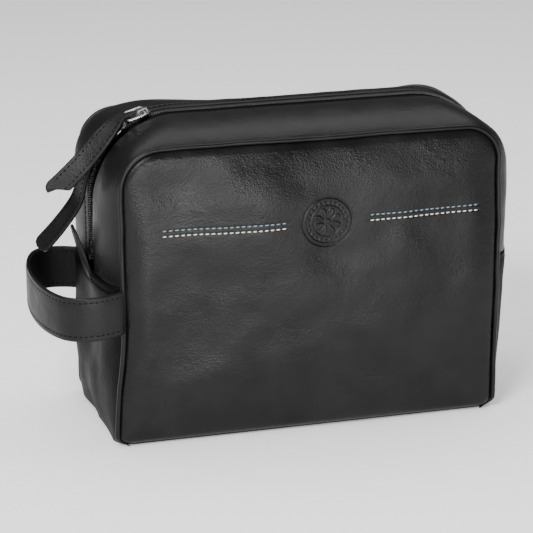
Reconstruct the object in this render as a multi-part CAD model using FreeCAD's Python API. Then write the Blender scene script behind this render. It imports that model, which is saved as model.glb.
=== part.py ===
import FreeCAD, Part
import math
import os

from FreeCAD import Vector, Rotation

os.makedirs("parts", exist_ok=True)

# ---------------------------------------------------------------- driving dimensions, mm
# Frame: origin at the centre of the base, +X to the right, +Y to the back, +Z up.
HALF_W = 127.5          # seam loop half width
HALF_D = 55.0           # front and back seams stand this far from the middle
SEAM_TOP = 203.0        # height of the top seam
SEAM_LOW = 5.0          # height of the bottom seam
R_TOP = 24.0            # top corner radius of the front and back panels
R_CREST = 57.0          # corner radius of the zip's coil, which is pulled in at the corners
R_LOW = 8.0             # bottom corner radius
SPLIT_Z = 110.5         # side gussets meet the zip gusset here
DOME = 13.3             # zip gusset stands this far proud of the seam loop
LEATHER = 2.0           # leather thickness
CROWN = 6.5             # front and back panels bulge this far
SOFT_GAP = 0.3          # clearance between soft pieces on different bodies
PIPING_R = 1.6          # piping bead radius
ZIP_SLOT = 6.6          # leather edges stop this far from the zip's middle
COIL_MID = 12.0         # offset of the zip's coil above the seam loop
COIL_H = 2.4            # coil height
COIL_W = 2.9            # width of one coil row
TAPE_W = 11.0           # tape width each side of the zip's middle
TAPE_T = 0.6            # tape thickness
LINING_T = 0.5          # lining thickness
STRAP_W = 30.0          # wrist strap width
STRAP_Z = 96.3          # height of the middle of the wrist strap
STRAP_PIVOT_X = -146.9  # the strap flexes about this line
TAB_W = 14.5            # pull tab width
TAB_T = 2.6             # pull tab thickness, two layers
FRAME_WIRE_R = 0.85     # pull frame wire radius
FRAME_LEN = 12.5        # pull frame length between its two bars
FRAME_HALF_Y = 6.0      # pull frame half width to the wire's middle
SLIDER_HALF_LEN = 4.6   # half length of a slider's plates
SLIDER_HALF_W = 4.4     # half width of a slider's plates
RIGHT_SLIDER_DEG = 19.5  # right slider, this far round the top left corner
LEFT_SLIDER_DEG = 36.0  # left slider, this far round the top left corner
BRIDGE_H = 3.7          # pull frame pivot above the coil's middle
RIGHT_FRAME_DEG = 16.5  # right pull frame points this far below the horizontal
LEFT_FRAME_DEG = 41.0   # left pull frame points this far below the horizontal
ACCENT_Z = (150.6, 146.9)   # heights of the two accent rows
ACCENT_ROWS = ((-103.3, 3.98, 21), (36.4, 3.85, 20))  # first x, pitch, count
STITCH_GAP = 1.2        # space between neighbouring accent stitches
STITCH_HALF_W = 0.35    # half width of an accent stitch
BIG = 400.0


def save(name, shape):
    """Write one node."""
    shape.exportStep("parts/" + name + ".step")


def box(x0, x1, y0, y1, z0, z1):
    return Part.makeBox(x1 - x0, y1 - y0, z1 - z0, Vector(x0, y0, z0))


def mirror_y(shape):
    return shape.mirror(Vector(0, 0, 0), Vector(0, 1, 0))


def mirror_x(shape):
    return shape.mirror(Vector(0, 0, 0), Vector(1, 0, 0))


def above(shape, z):
    return shape.common(box(-BIG, BIG, -BIG, BIG, z, BIG))


def below(shape, z):
    return shape.common(box(-BIG, BIG, -BIG, BIG, -BIG, z))


def one_solid(shape):
    """The single solid inside a boolean's result."""
    return max(shape.Solids, key=lambda s: s.Volume)


def corner(cx, cz, radius, mid_deg, y):
    """Middle point of a corner arc, measured from +X towards +Z."""
    a = math.radians(mid_deg)
    return Vector(cx + radius * math.cos(a), y, cz + radius * math.sin(a))


def closed_loop(offset, y, r_top=R_TOP, r_low=R_LOW):
    """Rounded rectangle of the seam, grown by offset, at depth y."""
    w, top, low = HALF_W + offset, SEAM_TOP + offset, SEAM_LOW - offset
    edges = []
    spots = [
        (w - r_top, top - r_top, r_top, 45.0),
        (-w + r_top, top - r_top, r_top, 135.0),
        (-w + r_low, low + r_low, r_low, 225.0),
        (w - r_low, low + r_low, r_low, 315.0),
    ]
    arcs = []
    for cx, cz, r, deg in spots:
        ends = [corner(cx, cz, r, deg + d, y) for d in (-45.0, 0.0, 45.0)]
        arcs.append(ends)
    for i, ends in enumerate(arcs):
        edges.append(Part.Arc(*ends).toShape())
        edges.append(Part.makeLine(ends[2], arcs[(i + 1) % 4][0]))
    return Part.Wire(edges)


def arch_path(offset, y, foot_z, r):
    """Points of the open loop: up the left side, over the top, down the right side."""
    w, top = HALF_W + offset, SEAM_TOP + offset
    left = [corner(-w + r, top - r, r, d, y) for d in (180.0, 135.0, 90.0)]
    right = [corner(w - r, top - r, r, d, y) for d in (90.0, 45.0, 0.0)]
    return [Vector(-w, y, foot_z)] + left + right + [Vector(w, y, foot_z)]


def arch_section(y, outer, thick, foot_z, r):
    """Closed U-shaped outline between two open loops at depth y."""
    a = arch_path(outer, y, foot_z, r)
    b = arch_path(outer - thick, y, foot_z, r - thick)
    edges = [
        Part.makeLine(a[0], a[1]),
        Part.Arc(a[1], a[2], a[3]).toShape(),
        Part.makeLine(a[3], a[4]),
        Part.Arc(a[4], a[5], a[6]).toShape(),
        Part.makeLine(a[6], a[7]),
        Part.makeLine(a[7], b[7]),
        Part.makeLine(b[7], b[6]),
        Part.Arc(b[6], b[5], b[4]).toShape(),
        Part.makeLine(b[4], b[3]),
        Part.Arc(b[3], b[2], b[1]).toShape(),
        Part.makeLine(b[1], b[0]),
        Part.makeLine(b[0], a[0]),
    ]
    return Part.Wire(edges)


def arch(sections, foot_z):
    """Solid over the top of the bag through (y, outer offset, thickness, radius) sections."""
    wires = [arch_section(y, o, t, foot_z, r) for y, o, t, r in sections]
    return Part.makeLoft(wires, True, len(sections) == 2)


def radius_at(y):
    """Corner radius of the zip gusset at depth y: small at the seam, large at the zip."""
    t = max(0.0, (abs(y) - ZIP_SLOT) / (HALF_D - 1.0 - ZIP_SLOT))
    crest = R_CREST + DOME - COIL_MID
    return R_TOP + (crest - R_TOP) * (1.0 - t ** 2.2)


def dome_at(y):
    """Outer offset of the zip gusset at depth y: steep at the seam, flat at the zip."""
    t = min(1.0, abs(y) / (HALF_D - 1.0))
    return DOME * (1.0 - t ** 3.2) ** 0.8


# ---------------------------------------------------------------- panels
MID_Z = (SEAM_TOP + SEAM_LOW) / 2.0
HALF_H = (SEAM_TOP - SEAM_LOW) / 2.0
GRID_X = [HALF_W * t / 6.0 for t in range(-6, 7)]
GRID_Z = [MID_Z + HALF_H * t / 6.0 for t in range(-6, 7)]
CROWN_POWER = 3.0


def crown_y(x, z):
    """Depth of the front panel's outside: fullest in the middle, flush at the seam."""
    across = 1.0 - (abs(x) / HALF_W) ** CROWN_POWER
    upright = 1.0 - (abs(z - MID_Z) / HALF_H) ** CROWN_POWER
    return -HALF_D - CROWN * across * upright


def crowned_sheet(set_back, thick, inset):
    """Sheet that follows the crown, cut to the seam loop shrunk by inset."""
    rows = [[Vector(x, crown_y(x, z) + set_back, z) for z in GRID_Z] for x in GRID_X]
    surface = Part.BSplineSurface()
    surface.interpolate(rows)
    slab = surface.toShape().extrude(Vector(0, thick, 0))
    outline = Part.Face(closed_loop(-inset, -90.0, R_TOP - inset, R_LOW - inset / 2))
    return one_solid(slab.common(outline.extrude(Vector(0, 60.0, 0))))


panel = crowned_sheet(0.0, LEATHER, 0.6)
front_lining = crowned_sheet(LEATHER + SOFT_GAP, LINING_T, 5.0)
front_panel_upper = one_solid(above(panel, SPLIT_Z + SOFT_GAP / 2))
front_panel_lower = one_solid(below(panel, SPLIT_Z - SOFT_GAP / 2))
save("front_panel_upper", front_panel_upper)
save("front_panel_lower", front_panel_lower)
save("back_panel", mirror_y(panel))
save("lining_front_upper", one_solid(above(front_lining, SPLIT_Z + SOFT_GAP / 2)))
save("lining_front_lower", one_solid(below(front_lining, SPLIT_Z - SOFT_GAP / 2)))
save("lining_back", mirror_y(front_lining))


# ---------------------------------------------------------------- piping
def bead(y):
    """Round bead along the whole seam loop."""
    path = closed_loop(1.2, y)
    start = path.OrderedVertexes[0].Point
    nxt = path.OrderedEdges[0].tangentAt(path.OrderedEdges[0].FirstParameter)
    ring = Part.Wire([Part.makeCircle(PIPING_R, start, nxt)])
    return Part.Wire(path.OrderedEdges).makePipeShell([ring], True, False)


PIPING_Y = HALF_D - 0.9 + PIPING_R
piping = bead(-PIPING_Y + 1.3)
save("front_piping_upper", one_solid(above(piping, SPLIT_Z + SOFT_GAP / 2)))
save("front_piping_lower", one_solid(below(piping, SPLIT_Z - SOFT_GAP / 2)))
save("back_piping", mirror_y(piping))

# ---------------------------------------------------------------- zip gusset
GUSSET_YS = (-52.4, -50.0, -44.5, -35.0, -22.0, -ZIP_SLOT)


def gusset_strip():
    sections = [(y, dome_at(y), LEATHER, radius_at(y)) for y in GUSSET_YS]
    return arch(sections, SPLIT_Z + SOFT_GAP / 2)


def lining_strip():
    sections = []
    set_back = LEATHER + 1.5
    for y in (-50.5, -44.5, -35.0, -13.5):
        sections.append((y, dome_at(y) - set_back, LINING_T, radius_at(y) - set_back))
    return arch(sections, SPLIT_Z + SOFT_GAP / 2)


front_strip = gusset_strip()
save("front_zip_gusset", front_strip)
save("rear_zip_gusset", mirror_y(front_strip))
zip_lining = lining_strip()
save("lining_zip_front", zip_lining)
save("lining_zip_rear", mirror_y(zip_lining))

# ---------------------------------------------------------------- zip
COIL_INNER_Y = 0.25
TAPE_TOP = COIL_MID - COIL_H / 2
FOOT_Z = SPLIT_Z + 0.4


def zip_tape():
    r = R_CREST + TAPE_TOP - COIL_MID
    flat = [(-TAPE_W, TAPE_TOP, TAPE_T, r), (-COIL_INNER_Y, TAPE_TOP, TAPE_T, r)]
    return arch(flat, FOOT_Z)


def zip_coil():
    top = COIL_MID + COIL_H / 2
    r = R_CREST + top - COIL_MID
    row = [(-COIL_INNER_Y - COIL_W, top, COIL_H, r), (-COIL_INNER_Y, top, COIL_H, r)]
    return arch(row, FOOT_Z + 5.0)


tape, coil = zip_tape(), zip_coil()
save("front_zip_tape", tape)
save("rear_zip_tape", mirror_y(tape))
save("front_zip_coil", coil)
save("rear_zip_coil", mirror_y(coil))


def zip_stop():
    """Crimped stop over the last teeth on the left side."""
    x = -(HALF_W + COIL_MID + COIL_H / 2)
    cap = box(x - 1.1, x - 0.1, -3.4, 3.4, FOOT_Z + 5.5, FOOT_Z + 8.5)
    return cap


save("zip_stop_left", zip_stop())
save("zip_stop_right", mirror_x(zip_stop()))

# ---------------------------------------------------------------- side gussets
SIDE_LEVELS = ((7.5, 5.0), (40.0, 9.4), (75.0, 12.3), (SPLIT_Z - SOFT_GAP / 2, DOME))
SIDE_YS = (-52.4, -49.0, -41.0, -26.0, 0.0, 26.0, 41.0, 49.0, 52.4)


def side_section(z, bulge, outer_trim, thick):
    """Closed outline across the side at height z; the outside faces -X."""
    scale = bulge / DOME
    outer, inner = [], []
    for y in SIDE_YS:
        x = -(HALF_W + dome_at(y) * scale) + outer_trim
        outer.append(Vector(x, y, z))
        inner.append(Vector(x + thick, y, z))
    a, b = Part.BSplineCurve(), Part.BSplineCurve()
    a.interpolate(outer)
    b.interpolate(list(reversed(inner)))
    caps = [Part.makeLine(outer[-1], inner[-1]), Part.makeLine(inner[0], outer[0])]
    return Part.Wire([a.toShape(), caps[0], b.toShape(), caps[1]])


def side_shell(outer_trim, thick, lift=0.0):
    levels = [(z + (lift if i == 0 else 0.0), b) for i, (z, b) in enumerate(SIDE_LEVELS)]
    wires = [side_section(z, b, outer_trim, thick) for z, b in levels]
    return Part.makeLoft(wires, True, False)


side = side_shell(0.0, LEATHER)
side_lining = side_shell(LEATHER + SOFT_GAP, LINING_T, 2.5)
trim = box(-BIG, BIG, -50.3, 50.3, -BIG, BIG)
side_lining = one_solid(side_lining.common(trim))
save("left_side_gusset", side)
save("right_side_gusset", mirror_x(side))
save("lining_side_left", side_lining)
save("lining_side_right", mirror_x(side_lining))


# ---------------------------------------------------------------- base
def base_slab(half_x, half_y, z0, z1, r):
    slab = box(-half_x, half_x, -half_y, half_y, z0, z1)
    uprights = [e for e in slab.Edges if abs(e.tangentAt(0).z) > 0.99]
    return slab.makeFillet(r, uprights)


def base_panel_shape():
    """Flat base turned up at its rim to meet the bottom seam."""
    outer = base_slab(HALF_W + 2.5, HALF_D - 2.6, 0.0, 7.2, 7.0)
    rim = [e for e in outer.Edges if e.BoundBox.ZMax < 0.01]
    outer = outer.makeFillet(3.0, rim)
    inner = base_slab(HALF_W + 0.5, HALF_D - 4.6, LEATHER, 8.0, 5.0)
    return one_solid(outer.cut(inner))


save("base_panel", base_panel_shape())
save("base_board", base_slab(HALF_W - 4.0, HALF_D - 7.0, 2.1, 3.9, 4.0))
save("lining_base", base_slab(HALF_W - 6.0, HALF_D - 9.0, 4.0, 4.5, 3.0))


# ---------------------------------------------------------------- sliders
def slider_local(sag):
    """Slider on a zip that runs along X, coil middle at the origin, outside up.

    sag lowers the inner plate, because the slider sits on a bend of the zip.
    """
    half_len, half_w = SLIDER_HALF_LEN, SLIDER_HALF_W
    coil_top = COIL_H / 2 + 0.4
    tape_low = -(COIL_H / 2 + TAPE_T + 0.4 + sag)
    plates = [
        box(-half_len, half_len, -half_w, half_w, coil_top, coil_top + 1.1),
        box(-half_len, half_len, -half_w, half_w, tape_low - 1.3, tape_low),
    ]
    web = box(-1.5, 1.5, -0.12, 0.12, tape_low - 0.2, coil_top + 0.2)
    legs = [
        box(-3.4, -2.4, -1.4, 1.4, coil_top + 1.0, BRIDGE_H + 2.0),
        box(2.4, 3.4, -1.4, 1.4, coil_top + 1.0, BRIDGE_H + 2.0),
    ]
    top = box(-3.4, 3.4, -1.4, 1.4, BRIDGE_H + 1.0, BRIDGE_H + 2.0)
    uprights = [e for e in plates[0].Edges if abs(e.tangentAt(0).z) > 0.99]
    plates[0] = plates[0].makeFillet(2.2, uprights)
    uprights = [e for e in plates[1].Edges if abs(e.tangentAt(0).z) > 0.99]
    plates[1] = plates[1].makeFillet(2.2, uprights)
    return plates[0].multiFuse([plates[1], web, top] + legs).removeSplitter()


def frame_local():
    """Rectangular wire frame: pivot bar on the Y axis, far bar at x = -FRAME_LEN."""
    corners = [
        Vector(0, -FRAME_HALF_Y, 0), Vector(0, FRAME_HALF_Y, 0),
        Vector(-FRAME_LEN, FRAME_HALF_Y, 0), Vector(-FRAME_LEN, -FRAME_HALF_Y, 0),
    ]
    pieces = []
    for i, a in enumerate(corners):
        b = corners[(i + 1) % 4]
        pieces.append(Part.makeCylinder(FRAME_WIRE_R, (b - a).Length, a, b - a))
        pieces.append(Part.makeSphere(FRAME_WIRE_R, a))
    return pieces[0].multiFuse(pieces[1:]).removeSplitter()


def turned(shape, deg, at):
    """Turn about Y so that -X dips by deg, then move the origin to a point."""
    out = shape.copy()
    out.Placement = FreeCAD.Placement(at, Rotation(Vector(0, 1, 0), -deg))
    return out


ARC_X = -(HALF_W + COIL_MID) + R_CREST
ARC_Z = SEAM_TOP + COIL_MID - R_CREST
BEND_SAG = SLIDER_HALF_LEN ** 2 / (2.0 * R_CREST) + 0.2


def on_arc(deg, radius):
    """Point on a circle about the top left corner's centre, measured from the top."""
    a = math.radians(deg)
    return Vector(ARC_X - radius * math.sin(a), 0, ARC_Z + radius * math.cos(a))


def ahead(point, deg, length):
    """Point reached going left and down at deg below the horizontal."""
    a = math.radians(deg)
    return point + Vector(-length * math.cos(a), 0, -length * math.sin(a))


slider = slider_local(BEND_SAG)
save("right_slider", turned(slider, RIGHT_SLIDER_DEG, on_arc(RIGHT_SLIDER_DEG, R_CREST)))
save("left_slider", turned(slider, LEFT_SLIDER_DEG, on_arc(LEFT_SLIDER_DEG, R_CREST)))

right_pivot = ahead(on_arc(RIGHT_SLIDER_DEG, R_CREST + BRIDGE_H), RIGHT_SLIDER_DEG, -1.0)
left_pivot = on_arc(LEFT_SLIDER_DEG, R_CREST + BRIDGE_H)
save("right_pull_frame", turned(frame_local(), RIGHT_FRAME_DEG, right_pivot))
save("left_pull_frame", turned(frame_local(), LEFT_FRAME_DEG, left_pivot))
right_eye = ahead(right_pivot, RIGHT_FRAME_DEG, FRAME_LEN)
left_eye = ahead(left_pivot, LEFT_FRAME_DEG, FRAME_LEN)


# ---------------------------------------------------------------- pull tabs
def tab_section(point, along, twist_deg, half_w, half_t):
    across = Rotation(along, twist_deg).multVec(Vector(0, 1, 0))
    across = (across - along * across.dot(along)).normalize()
    up = along.cross(across)
    pts = [
        point + across * half_w + up * half_t, point - across * half_w + up * half_t,
        point - across * half_w - up * half_t, point + across * half_w - up * half_t,
    ]
    return Part.makePolygon(pts + [pts[0]])


def route_stations(eye, first_deg, route, count=10):
    """Even stations along a smooth curve through the eye and the route's points."""
    start = ahead(eye, first_deg, 1.6)
    curve = Part.BSplineCurve()
    curve.interpolate([start] + [Vector(x, y, z) for x, y, z, _ in route])
    twists = [0.0] + [t for _, _, _, t in route]
    first, last = curve.FirstParameter, curve.LastParameter
    out = []
    for i in range(count):
        share = i / (count - 1.0)
        u = first + (last - first) * share
        spot = share * (len(twists) - 1)
        k = min(int(spot), len(twists) - 2)
        twist = twists[k] + (twists[k + 1] - twists[k]) * (spot - k)
        along = Vector(*curve.tangent(u)[0]).normalize()
        out.append((curve.value(u), along, twist))
    return out


def pull_tab(eye, stations):
    """Leather tab folded round the far bar of its frame."""
    wires = []
    for i, (point, along, twist) in enumerate(stations):
        half = TAB_W / 2 if i < len(stations) - 1 else TAB_W / 2 - 2.5
        wires.append(tab_section(point, along, twist, half, TAB_T / 2))
    strip = Part.makeLoft(wires, True, False)
    eye_r = FRAME_WIRE_R + 1.35
    inner_half = FRAME_HALF_Y - FRAME_WIRE_R - SOFT_GAP
    across = Vector(0, 1, 0)
    roll = Part.makeCylinder(eye_r, 2 * inner_half, eye - across * inner_half, across)
    hole = Part.makeCylinder(FRAME_WIRE_R + 0.05, 60.0, eye - across * 30.0, across)
    return one_solid(strip.fuse(roll).cut(hole))


RIGHT_ROUTE = (
    (-120.5, -2.5, 210.7, -12.0),
    (-131.8, -8.0, 200.8, -40.0),
    (-145.0, -9.0, 186.4, -52.0),
    (-158.5, -9.0, 173.0, -57.0),
    (-167.5, -8.5, 165.0, -58.0),
)
LEFT_ROUTE = (
    (-137.5, 0.0, 187.0, -3.0),
    (-143.8, 0.5, 172.0, -10.0),
    (-148.4, 1.5, 157.0, -18.0),
    (-159.0, 3.0, 141.0, -25.0),
    (-171.4, 4.5, 126.5, -30.0),
)


def narrow_neck(solid, eye, reach):
    """Cut the sides back where the tab passes between the frame's side wires."""
    out = solid
    inner_half = FRAME_HALF_Y - FRAME_WIRE_R - SOFT_GAP
    for side_y in (-1.0, 1.0):
        y0, y1 = sorted((side_y * inner_half, side_y * 20.0))
        ball = Part.makeCylinder(reach, y1 - y0, Vector(eye.x, y0, eye.z), Vector(0, 1, 0))
        out = out.cut(ball)
    return one_solid(out)


right_tab = pull_tab(right_eye, route_stations(right_eye, -20.0, RIGHT_ROUTE))
left_tab = pull_tab(left_eye, route_stations(left_eye, 50.0, LEFT_ROUTE))
save("right_pull_tab", narrow_neck(right_tab, right_eye, 3.2))
save("left_pull_tab", narrow_neck(left_tab, left_eye, 3.2))

# ---------------------------------------------------------------- wrist strap
STRAP_ROUTE = (
    (-131.9, -57.6), (-138.5, -60.2), (-148.5, -62.4), (-160.5, -60.4), (-171.5, -50.5),
    (-179.5, -28.0), (-182.0, 0.0), (-179.5, 28.0), (-171.5, 50.5), (-160.5, 60.4),
    (-148.5, 62.4), (-138.5, 60.2), (-131.9, 57.6),
)


def ribbon(inset, thick):
    """Upright ribbon along the strap route, shifted inwards by inset."""
    curve = Part.BSplineCurve()
    curve.interpolate([Vector(x, y, 0) for x, y in STRAP_ROUTE])
    outer, inner = [], []
    samples = 48
    first, last = curve.FirstParameter, curve.LastParameter
    for i in range(samples + 1):
        u = first + (last - first) * i / samples
        p, t = curve.value(u), Vector(*curve.tangent(u)[0]).normalize()
        n = Vector(-t.y, t.x, 0)
        n = n if n.dot(Vector(-150.0, 0, 0) - p) > 0 else n * -1
        outer.append(p + n * inset)
        inner.append(p + n * (inset + thick))
    a, b = Part.BSplineCurve(), Part.BSplineCurve()
    a.interpolate(outer)
    b.interpolate(list(reversed(inner)))
    caps = [Part.makeLine(outer[-1], inner[-1]), Part.makeLine(inner[0], outer[0])]
    face = Part.Face(Part.Wire([a.toShape(), caps[0], b.toShape(), caps[1]]))
    face.translate(Vector(0, 0, STRAP_Z - STRAP_W / 2))
    solid = face.extrude(Vector(0, 0, STRAP_W))
    ends = Part.makeCylinder(
        STRAP_W / 2, 200.0, Vector(STRAP_PIVOT_X, -100.0, STRAP_Z), Vector(0, 1, 0))
    keep = box(-BIG, STRAP_PIVOT_X, -BIG, BIG, 0.0, BIG).fuse(ends)
    return one_solid(solid.common(keep))


save("wrist_strap_outer", ribbon(0.0, 1.5))
save("wrist_strap_lining", ribbon(1.5, 1.2))


# ---------------------------------------------------------------- zip end tab
TONGUE_H = 31.0
TONGUE_LEAN_DEG = 15.0
TONGUE_T = 2.3
TONGUE_X = -(HALF_W + DOME + 1.4)
TONGUE_Z = SPLIT_Z + 0.6


def tongue():
    """Half-elliptical leather tongue that covers the end of the zip."""
    half = 15.0
    arc = Part.Ellipse(Vector(0, 0, TONGUE_H), Vector(0, half, 0), Vector(0, 0, 0))
    curve = Part.Arc(arc, -math.pi / 2, math.pi / 2).toShape()
    ends = [v.Point for v in curve.Vertexes]
    face = Part.Face(Part.Wire([curve, Part.makeLine(ends[1], ends[0])]))
    solid = face.extrude(Vector(-TONGUE_T, 0, 0))
    place = FreeCAD.Placement(
        Vector(TONGUE_X, 0, TONGUE_Z), Rotation(Vector(0, 1, 0), -TONGUE_LEAN_DEG))
    solid.Placement = place
    return solid


save("zip_end_tab", tongue())


# ---------------------------------------------------------------- accent stitches
def surface_y(x, z):
    """Depth of the front panel's outside at a point."""
    ray = Part.makeLine(Vector(x, -100.0, z), Vector(x, -50.0, z))
    return min(v.Point.y for v in front_panel_upper.common(ray).Vertexes)


def stitch_rows(z):
    stitches = []
    for start, pitch, count in ACCENT_ROWS:
        length = pitch - STITCH_GAP
        for i in range(count):
            x = start + pitch * i
            y = min(surface_y(x, z), surface_y(x + length, z))
            low, high = z - STITCH_HALF_W, z + STITCH_HALF_W
            stitches.append(box(x, x + length, y - 0.65, y - 0.12, low, high))
    return Part.makeCompound(stitches)


save("accent_stitches_upper", stitch_rows(ACCENT_Z[0]))
save("accent_stitches_lower", stitch_rows(ACCENT_Z[1]))
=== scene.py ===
import bpy
import math
from mathutils import Matrix, Vector, noise


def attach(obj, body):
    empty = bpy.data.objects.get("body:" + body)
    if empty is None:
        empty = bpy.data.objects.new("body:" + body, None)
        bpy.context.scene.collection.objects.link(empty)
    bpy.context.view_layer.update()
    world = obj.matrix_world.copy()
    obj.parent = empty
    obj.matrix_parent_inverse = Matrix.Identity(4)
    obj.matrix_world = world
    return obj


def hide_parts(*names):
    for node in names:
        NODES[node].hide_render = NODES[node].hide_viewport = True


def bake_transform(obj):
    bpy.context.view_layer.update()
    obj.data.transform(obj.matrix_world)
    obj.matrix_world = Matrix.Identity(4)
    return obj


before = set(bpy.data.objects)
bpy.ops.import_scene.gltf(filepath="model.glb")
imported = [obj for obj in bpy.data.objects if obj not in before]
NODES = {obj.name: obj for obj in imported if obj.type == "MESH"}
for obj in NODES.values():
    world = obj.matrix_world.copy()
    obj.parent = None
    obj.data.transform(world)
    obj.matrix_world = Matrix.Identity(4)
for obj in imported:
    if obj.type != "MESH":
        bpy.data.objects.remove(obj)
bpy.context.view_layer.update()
noise.seed_set(7)

# ---------------------------------------------------------------- driving dimensions, mm
MM = 0.001
HALF_W, HALF_D = 127.5, 55.0
SEAM_TOP, SEAM_LOW = 203.0, 5.0
R_TOP, R_LOW, R_CREST = 24.0, 8.0, 57.0
SPLIT_Z, DOME = 110.5, 13.3
COIL_MID, ZIP_SLOT = 12.0, 6.6
MID_Z, HALF_H = (SEAM_TOP + SEAM_LOW) / 2, (SEAM_TOP - SEAM_LOW) / 2
STRAP_W, STRAP_Z = 30.0, 96.3
MEDAL_X, MEDAL_Z, MEDAL_R = 7.5, 148.5, 17.5
ACCENT_ROWS = ((-103.3, 3.98, 21), (36.4, 3.85, 20))
ACCENT_Z = (150.6, 146.9)
THREAD_R = 0.42
STITCH_LEN, STITCH_PITCH = 2.7, 3.6
ZIP_STITCH_Y, ZIP_STITCH_DROP = 12.9, 0.95  # from the middle plane, and below the dome
SIDE_STITCH_Z = 106.4
PIPING_R = 1.6


def smooth(a, b, x):
    t = min(1.0, max(0.0, (x - a) / (b - a)))
    return t * t * (3 - 2 * t)


def bump(x, width):
    return math.exp(-(x / width) ** 2)


def sag(p):
    """Soft settling shared by every leather piece, in mm."""
    x, y, z = p
    at_left = smooth(-70.0, -128.0, x)
    q = Vector((x / 62.0, y / 62.0, z / 58.0))
    wave = noise.noise_vector(q + Vector((3.1, 7.7, 1.3)))
    fine = noise.noise_vector(q * 2.6 + Vector((9.1, 2.2, 5.5)))
    hold = smooth(0.0, 16.0, z)
    top_hold = 1.0 - 0.75 * smooth(202.0, 212.0, z)
    shift = (wave * 1.5 + fine * 0.5) * hold * top_hold
    flare = -7.5 * smooth(-60.0, -128.0, x) * (1.0 - smooth(4.0, 85.0, z)) * smooth(10.0, -55.0, y)
    rear = -(10.5 - 4.5 * smooth(50.0, 115.0, z)) * at_left * smooth(8.0, 46.0, y)
    belly = -7.5 * at_left * (1.0 - smooth(20.0, 70.0, z)) * bump(y - 5.0, 26.0)
    right = 2.5 * smooth(120.0, 132.0, x) * smooth(-54.0, -44.0, y)
    mid_run = 1.0 - smooth(40.0, 118.0, abs(x - 20.0))
    slump = -5.0 * smooth(9.0, 34.0, y) * mid_run * smooth(188.0, 208.0, z)
    seated = -3.0 * smooth(0.0, 4.5, z) * (1.0 - smooth(5.0, 34.0, z))
    return Vector((x + shift.x + flare + rear + belly + right, y + shift.y,
                   z + 0.4 * shift.z + slump + seated))


# ---------------------------------------------------------------- mesh helpers
def link(obj):
    bpy.context.scene.collection.objects.link(obj)
    return obj


def mesh_object(name, verts, faces, uvs=None, settle=True):
    """Object from points in mm; uvs are per vertex, in mm along and across the piece."""
    moved = [sag(v) if settle else Vector(v) for v in verts]
    mesh = bpy.data.meshes.new(name)
    mesh.from_pydata([tuple(v * MM) for v in moved], [], faces)
    if uvs:
        layer = mesh.uv_layers.new(name="UVMap")
        for loop in mesh.loops:
            u, v = uvs[loop.vertex_index]
            layer.data[loop.index].uv = (u * MM, v * MM)
    mesh.polygons.foreach_set("use_smooth", [True] * len(mesh.polygons))
    mesh.update()
    return link(bpy.data.objects.new(name, mesh))


def grid_faces(rows, cols, close_rows=False, close_cols=False, base=0):
    faces = []
    for i in range(rows if close_rows else rows - 1):
        for j in range(cols if close_cols else cols - 1):
            a = base + i * cols + j
            b = base + i * cols + (j + 1) % cols
            c = base + ((i + 1) % rows) * cols + (j + 1) % cols
            d = base + ((i + 1) % rows) * cols + j
            faces.append((a, b, c, d))
    return faces


def grid_object(name, rows, close_rows=False, close_cols=False, flip=False, settle=True, caps=False):
    """Skin over rows of points; uvs measure the length along and across."""
    count, cols = len(rows), len(rows[0])
    verts, uvs = [], []
    along = [0.0]
    for i in range(1, count):
        along.append(along[-1] + (Vector(rows[i][cols // 2]) - Vector(rows[i - 1][cols // 2])).length)
    for i, row in enumerate(rows):
        across = 0.0
        for j, p in enumerate(row):
            if j:
                across += (Vector(p) - Vector(row[j - 1])).length
            verts.append(p)
            uvs.append((along[i], across))
    faces = grid_faces(count, cols, close_rows, close_cols)
    if caps:
        faces.append(tuple(range(cols))[::-1])
        faces.append(tuple((count - 1) * cols + j for j in range(cols)))
    if flip:
        faces = [f[::-1] for f in faces]
    return mesh_object(name, verts, faces, uvs, settle)


def loop_points(offset, step):
    """Even points round the seam loop with their outward normals, in X and Z."""
    w, top, low = HALF_W + offset, SEAM_TOP + offset, SEAM_LOW - offset
    rt, rl = R_TOP + offset, R_LOW + offset
    spots = [(w - rt, top - rt, rt, 0.0), (-w + rt, top - rt, rt, 90.0),
             (-w + rl, low + rl, rl, 180.0), (w - rl, low + rl, rl, 270.0)]
    out = []
    for i, (cx, cz, r, deg) in enumerate(spots):
        n = max(4, int(r * math.pi / 2 / step))
        for k in range(n):
            a = math.radians(deg + 90.0 * k / n)
            out.append((cx + r * math.cos(a), cz + r * math.sin(a), math.cos(a), math.sin(a)))
        a = math.radians(deg + 90.0)
        x0, z0 = cx + r * math.cos(a), cz + r * math.sin(a)
        nx_c, nz_c, nr, _ = spots[(i + 1) % 4]
        x1, z1 = nx_c + nr * math.cos(a), nz_c + nr * math.sin(a)
        m = max(2, int(math.hypot(x1 - x0, z1 - z0) / step))
        for k in range(m):
            t = k / m
            out.append((x0 + (x1 - x0) * t, z0 + (z1 - z0) * t, math.cos(a), math.sin(a)))
    return out


def arch_line(offset, r, foot_z, legs=24, arc=22, top=70):
    """Points up the left side, over the top and down the right side, with normals."""
    w, high = HALF_W + offset, SEAM_TOP + offset
    out = []
    for k in range(legs):
        out.append((-w, foot_z + (high - r - foot_z) * k / legs, -1.0, 0.0))
    for k in range(arc):
        a = math.radians(180.0 - 90.0 * k / arc)
        out.append((-w + r + r * math.cos(a), high - r + r * math.sin(a), math.cos(a), math.sin(a)))
    for k in range(top):
        out.append((-w + r + (2 * w - 2 * r) * k / top, high, 0.0, 1.0))
    for k in range(arc):
        a = math.radians(90.0 - 90.0 * k / arc)
        out.append((w - r + r * math.cos(a), high - r + r * math.sin(a), math.cos(a), math.sin(a)))
    for k in range(legs + 1):
        out.append((w, high - r - (high - r - foot_z) * k / legs, 1.0, 0.0))
    return out


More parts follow.
